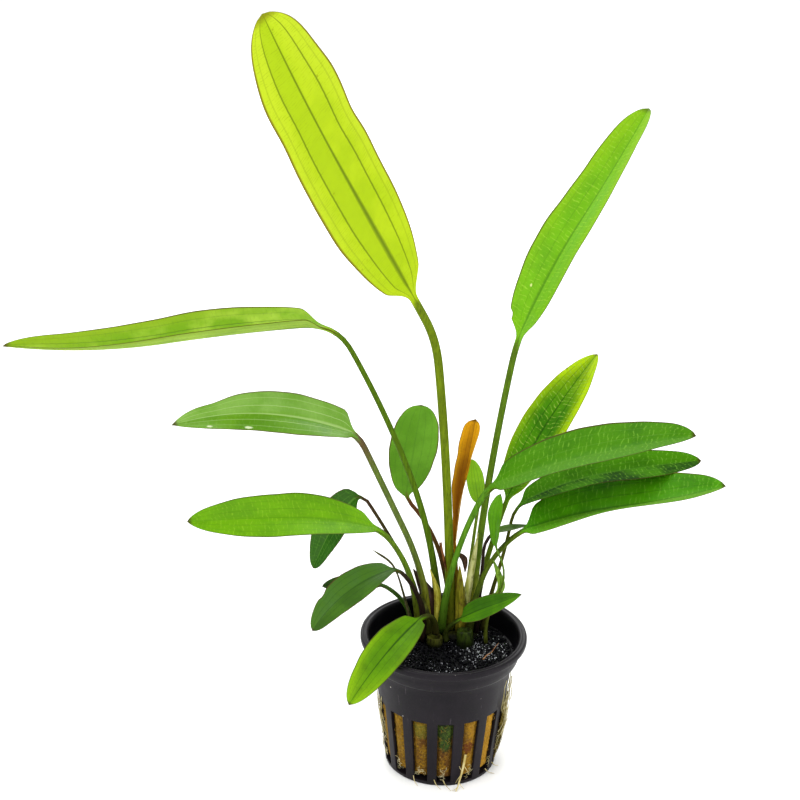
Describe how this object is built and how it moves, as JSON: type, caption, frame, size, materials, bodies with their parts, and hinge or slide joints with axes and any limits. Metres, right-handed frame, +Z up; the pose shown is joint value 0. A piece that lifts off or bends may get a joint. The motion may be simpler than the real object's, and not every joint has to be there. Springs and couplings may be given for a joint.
{
  "type": "potted echinodorus",
  "caption": "Aquatic sword plant with strap-stalked oval leaves rising from a crown in black grit over a wool plug in a slotted net pot.",
  "frame": {"origin": "centre of the pot's underside, on the surface it stands on", "axes": "+Z up along the pot's axis; -Y towards the side seen in the picture, +Y to the back, +X to its right"},
  "size_m": [0.2318, 0.1194, 0.2663],
  "materials": {
    "black_plastic": "satin black moulded plastic with a soft sheen and a few pale specks",
    "mineral_wool": "damp ochre mineral wool, granular, darker spots, some green algae",
    "black_grit": "wet black grit with small glistening specks",
    "crown_green": "olive and brown leaf bases, damp satin",
    "bright_leaf": "bright yellow-green leaf, thin and lit through, darker veins",
    "green_leaf": "mid green leaf, satin upper face, fine parallel and cross veins",
    "dark_leaf": "dark green shaded leaf, satin",
    "withered_leaf": "orange to brown dying leaf, rolled",
    "dry_brown": "dry brown plant remains",
    "pale_root": "pale straw-coloured fine roots, matte"
  },
  "bodies": {
    "root": {"net_pot": "black_plastic", "wool_plug": "mineral_wool", "grit": "black_grit", "crown": "crown_green", "leaf_base_left": "crown_green", "leaf_base_right": "crown_green", "leaf_tall": "bright_leaf", "leaf_upright": "green_leaf", "leaf_long_left": "green_leaf", "leaf_mid_left": "green_leaf", "leaf_low_left": "green_leaf", "leaf_behind_left": "dark_leaf", "leaf_droop_left": "green_leaf", "leaf_hidden_left": "dark_leaf", "leaf_front_droop": "bright_leaf", "leaf_front_right": "green_leaf", "leaf_back_oval": "green_leaf", "leaf_withered": "withered_leaf", "leaf_back_small": "bright_leaf", "leaf_big_right": "green_leaf", "leaf_mid_right": "dark_leaf", "leaf_low_right": "green_leaf", "leaf_back_right": "bright_leaf", "leaf_young_right": "bright_leaf", "leaf_dark_stalk": "dark_leaf", "dry_shoot": "dry_brown", "brown_strand": "dry_brown", "root_mat_right": "pale_root", "root_mat_left": "pale_root", "front_root": "pale_root"}
  },
  "joints": []
}
